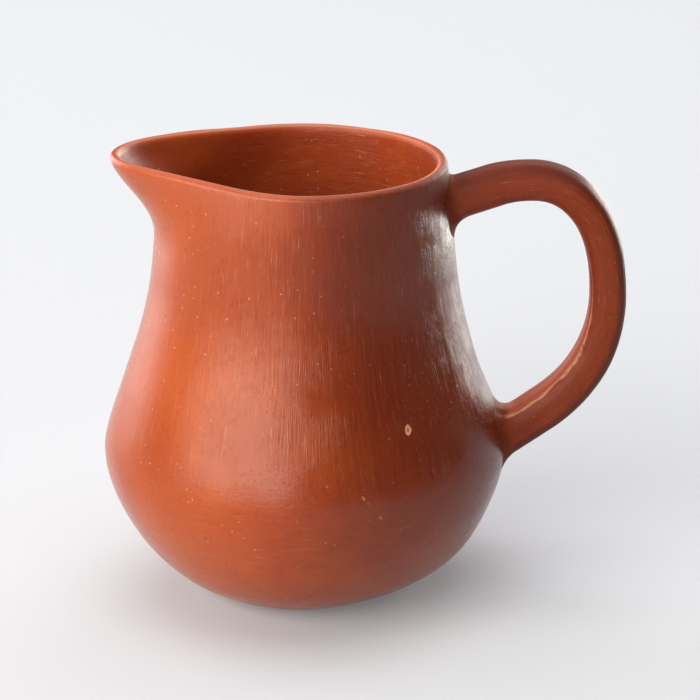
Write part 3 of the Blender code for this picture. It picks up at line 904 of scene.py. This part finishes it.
        # Painted highlight along the lip's inner edge, strongest on the side towards the camera
        lip_highlight = self.times(self.step(self.inside, *LIP_HIGHLIGHT_OUTER), self.step(self.inside, *LIP_HIGHLIGHT_INNER))
        return self.tint(self.times(lip_highlight, self.step(self.unit_y, *LIP_HIGHLIGHT_SHOW)), base, self.clay.dust_and_highlight)

    def shaded(self, base):
        """Painted shade: darker on the front right, the side turned from the window where the handle is, and
        darkest on the strap's outer face.
        """
        towards_x, towards_y = SHADE_TOWARDS
        # Painted shade on the side turned from the window
        facing = self.plus(self.times(self.unit_x, towards_x), self.times(self.unit_y, towards_y))
        side_shade = self.times(self.step(facing, *SHADE_STEP), self.outside)
        side_shade = self.times(side_shade, self.step(self.along, *SHADE_LOW_DOWN))
        side_shade = self.times(side_shade, self.step(self.strap_share, *SHADE_ON_STRAP))
        # Painted shade on the strap's outer face
        back = self.times(self.step(self.strap_x, *STRAP_BACK_SHADE), self.strap_share)
        return self.tint(self.larger(side_shade, back), base, self.clay.painted_shade)

    def strap_sheen_and_highlight(self, base):
        """Painted sheen on the strap's inner face below its middle, and a painted highlight on the ridge
        beside the fold, on the side towards the camera.
        """
        # Painted sheen on the strap's inner face, below its middle
        clear_of_roots = self.step(self.strap_share, *CLEAR_OF_ROOTS)
        lower = self.times(self.step(self.strap_z, *LOWER_STRAP), clear_of_roots)
        inner_face_sheen = self.times(self.step(self.strap_x, *INNER_FACE_SHEEN), lower)
        base = self.tint(self.times(inner_face_sheen, INNER_FACE_SHEEN_SHOW), base, self.clay.pale_and_sheen)
        # Painted highlight along the ridge beside the fold, on the side towards the camera
        shaky = self.plus(self.strap_x, self.either_way(self.patch, RIDGE_HIGHLIGHT_SHAKE))
        ridge_highlight = self.step(self.unsigned(self.minus(shaky, FOLD_RIDGE_X)), *RIDGE_HIGHLIGHT)
        ridge_highlight = self.times(ridge_highlight, self.step(self.mottle, *RIDGE_HIGHLIGHT_BREAKS))
        ridge_highlight = self.times(self.times(ridge_highlight, self.step(self.strap_y, *RIDGE_HIGHLIGHT_SIDE)), lower)
        return self.tint(self.times(ridge_highlight, RIDGE_HIGHLIGHT_SHOW), base, self.clay.dust_and_highlight)

    def chipped(self, base):
        """One chip with bare clay round its edge, and one scratch."""
        base = self.tint(self.times(self.chip_edge, CHIP_SHOW), base, self.clay.dust_and_highlight)
        base = self.tint(self.step(self.chip, *CHIP_BOTTOM), base, self.clay.red)
        wander = self.either_way(self.noise(self.here, *WANDER_NOISE), SCRATCH_WANDER)
        scratch = self.plus(self.beside(*SCRATCH), self.unsigned(wander))
        scratched = self.times(self.step(scratch, *SCRATCH_WIDTH), self.step(self.grain, *SCRATCH_BREAKS))
        return self.tint(self.times(scratched, SCRATCH_SHOW), base, self.clay.dust_and_highlight)

    def roughness(self):
        """Least on the burnished wall, and more inside, on the strap, at the lip and on marks."""
        plain = self.clay.roughness
        rough = self.step(self.medium, *ROUGH_STROKES, plain - SMOOTHER, plain + ROUGHER)
        rough = self.plus(rough, self.step(self.fine, *DRY_ROUGH))
        on_strap = self.step(self.strap_share, *STRAP_MATTE)
        matte = self.larger(self.step(self.inside, *INSIDE_MATTE), on_strap)
        rough = self.plus(rough, self.times(matte, MATTE_ROUGH))
        rough = self.plus(rough, self.times(on_strap, self.step(self.strap_share, *ROOT_ROUGH)))
        rough = self.plus(rough, self.step(self.strap_x, *STRAP_BACK_ROUGH))
        rough = self.plus(rough, self.times(self.near_lip, self.step(self.unit_x, *LIP_ROUGH)))
        return self.plus(rough, self.times(self.marks, MARKS_ROUGH), clamp=True)

    def relief(self):
        """Strokes and grain stand up. Specks, pits and the chip are sunk."""
        relief = self.times(self.plus(self.fine, self.times(self.medium, MEDIUM_RELIEF)), self.pressed)
        relief = self.plus(relief, self.times(self.grain, GRAIN_RELIEF))
        relief = self.plus(relief, self.times(self.mottle, MOTTLE_RELIEF))
        relief = self.minus(relief, self.times(self.marks, MARKS_RELIEF))
        return self.minus(relief, self.times(self.chip_edge, CHIP_RELIEF))


def add_piece(work, name, material):
    mesh = bpy.data.meshes.new(name)
    work.to_mesh(mesh)
    work.free()
    mesh.shade_smooth()
    mesh.materials.append(material)
    piece = bpy.data.objects.new(name, mesh)
    bpy.context.scene.collection.objects.link(piece)
    return piece


def clay_material(context, name, shine):
    scene = context.scene
    return BurnishedClay(name, scene.pitcher_clay, scene.pitcher_vessel.belly_radius, shine).material


class PITCHER_OT_vessel(bpy.types.Operator):
    """Build the wall, the mouth and the spout"""

    bl_idname = "pitcher.vessel"
    bl_label = "Build vessel"

    def execute(self, context):
        work, _ = make_vessel(context.scene.pitcher_vessel)
        vessel = add_piece(work, "vessel", clay_material(context, "burnished_clay", WALL_SHINE))
        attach(vessel, "root")
        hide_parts("base_bowl", "belly_coil", "neck_coil", "rim_coil")
        return {"FINISHED"}


class PITCHER_OT_handle(bpy.types.Operator):
    """Build the strap handle and work its two ends into the wall"""

    bl_idname = "pitcher.handle"
    bl_label = "Build handle"

    def execute(self, context):
        vessel, wall = make_vessel(context.scene.pitcher_vessel)
        work = make_handle(context.scene.pitcher_handle, vessel, wall)
        vessel.free()
        clay = clay_material(context, "burnished_clay_handle", HANDLE_SHINE)
        handle = add_piece(work, "strap_handle", clay)
        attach(handle, "root")
        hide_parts("handle", "upper_handle_root", "lower_handle_root")
        return {"FINISHED"}


# Studio

CAMERA_PLACE, CAMERA_AIM, SENSOR_WIDTH = (0.0183, -1.1, 0.4769), (0.0183, 0.0, 0.0997), 36.0
LIGHT_AIM = (0.0, 0.0, 0.1)
FLOOR_RADIUS, FLOOR_STEPS, PAPER_ROUGHNESS = 6.0, 128, 0.9
WHITE = (1.0, 1.0, 1.0)
DAYLIGHT, WARM_CARD = (1.0, 0.95, 0.86), (1.0, 0.97, 0.88)

# Soft panels by setting: (bearing from the camera's side, rise, distance, width, height, colour)
PANELS = {
    "window": (42, 23, 5.0, 6.3, 3.4, DAYLIGHT),
    "back_left": (128, 19, 6.0, 4.9, 3.6, WHITE),
    "back_right": (212, 15, 6.0, 4.8, 3.2, WHITE),
    "back_high": (165, 50, 8.0, 8.0, 4.5, WHITE),
    "top": (0, 90, 5.0, 5.0, 5.0, WHITE),
    "veil": (0, 90, 5.1, 5.0, 5.0, WHITE),
    "card_right": (212, 10, 0.45, 0.38, 0.28, WARM_CARD),
    "card_left": (128, 10, 0.45, 0.34, 0.28, WHITE),
}


def aim(obj, place, target):
    obj.location = place
    obj.rotation_euler = (Vector(target) - Vector(place)).to_track_quat("-Z", "Y").to_euler()


def panel_light(scene, name, strength):
    """A soft panel that faces the pitcher. Its bearing runs clockwise from above."""
    bearing, rise, distance, width, height, tone = PANELS[name]
    light = bpy.data.lights.new(name, "AREA")
    light.shape = "RECTANGLE"
    light.size, light.size_y = width, height
    light.energy = strength * math.pi * width * height
    light.color = tone
    panel = bpy.data.objects.new(name, light)
    scene.collection.objects.link(panel)
    across, up = math.radians(bearing), math.radians(rise)
    place = Vector((-math.sin(across) * math.cos(up), -math.cos(across) * math.cos(up), math.sin(up)))
    aim(panel, place * distance + Vector(LIGHT_AIM), LIGHT_AIM)
    return panel


def set_lights(scene, s):
    """The panels: the veil casts no shadow and shows no gloss, and the two cards only show as gloss."""
    panels = {name: panel_light(scene, name, getattr(s, name)) for name in PANELS}
    panels["veil"].data.use_shadow = False
    panels["veil"].visible_glossy = False
    for card in (panels["card_right"], panels["card_left"]):
        card.visible_camera = False
        card.visible_diffuse = False
    world = bpy.data.worlds.new("room")
    world.use_nodes = True
    background = world.node_tree.nodes["Background"]
    background.inputs["Color"].default_value = (*WHITE, 1.0)
    background.inputs["Strength"].default_value = s.fill
    scene.world = world


def lay_floor(scene, tone):
    """A wide disc of pale, dull paper."""
    work = bmesh.new()
    bmesh.ops.create_circle(work, segments=FLOOR_STEPS, radius=FLOOR_RADIUS, cap_ends=True)
    mesh = bpy.data.meshes.new("floor")
    work.to_mesh(mesh)
    work.free()
    floor = bpy.data.objects.new("floor", mesh)
    scene.collection.objects.link(floor)
    paper = bpy.data.materials.new("pale_paper")
    paper.use_nodes = True
    shader = paper.node_tree.nodes["Principled BSDF"]
    shader.inputs["Base Color"].default_value = tone
    shader.inputs["Roughness"].default_value = PAPER_ROUGHNESS
    shader.inputs["Specular IOR Level"].default_value = 0.0
    mesh.materials.append(paper)


def set_camera(scene, lens):
    data = bpy.data.cameras.new("camera")
    data.lens = lens
    data.sensor_width = SENSOR_WIDTH
    camera = bpy.data.objects.new("camera", data)
    scene.collection.objects.link(camera)
    aim(camera, CAMERA_PLACE, CAMERA_AIM)
    scene.camera = camera


class PITCHER_OT_studio(bpy.types.Operator):
    """Set the camera, the floor and the soft lights"""

    bl_idname = "pitcher.studio"
    bl_label = "Set studio"

    def execute(self, context):
        scene = context.scene
        s = scene.pitcher_studio
        scene.view_settings.view_transform = "Standard"
        lay_floor(scene, s.floor)
        set_lights(scene, s)
        set_camera(scene, s.lens)
        return {"FINISHED"}


class PITCHER_PT_panel(bpy.types.Panel):
    """Builds the pitcher piece by piece"""

    bl_idname = "PITCHER_PT_panel"
    bl_label = "Burnished Clay Pitcher"
    bl_space_type = "VIEW_3D"
    bl_region_type = "UI"
    bl_category = "Pitcher"

    def draw(self, context):
        for settings, operator in (
            ("pitcher_vessel", "pitcher.vessel"),
            ("pitcher_handle", "pitcher.handle"),
            ("pitcher_clay", None),
            ("pitcher_studio", "pitcher.studio"),
        ):
            box = self.layout.box()
            group = getattr(context.scene, settings)
            for name in group.__annotations__:
                box.prop(group, name)
            if operator:
                box.operator(operator)


GROUPS = {
    "pitcher_vessel": PitcherVesselSettings,
    "pitcher_handle": PitcherHandleSettings,
    "pitcher_clay": PitcherClaySettings,
    "pitcher_studio": PitcherStudioSettings,
}
CLASSES = (*GROUPS.values(), PITCHER_OT_vessel, PITCHER_OT_handle, PITCHER_OT_studio, PITCHER_PT_panel)


def register():
    for cls in CLASSES:
        bpy.utils.register_class(cls)
    for name, group in GROUPS.items():
        setattr(bpy.types.Scene, name, bpy.props.PointerProperty(type=group))


def unregister():
    for name in GROUPS:
        delattr(bpy.types.Scene, name)
    for cls in reversed(CLASSES):
        bpy.utils.unregister_class(cls)


def main():
    register()
    bpy.ops.pitcher.vessel()
    bpy.ops.pitcher.handle()
    bpy.ops.pitcher.studio()


if __name__ == "__main__":
    main()
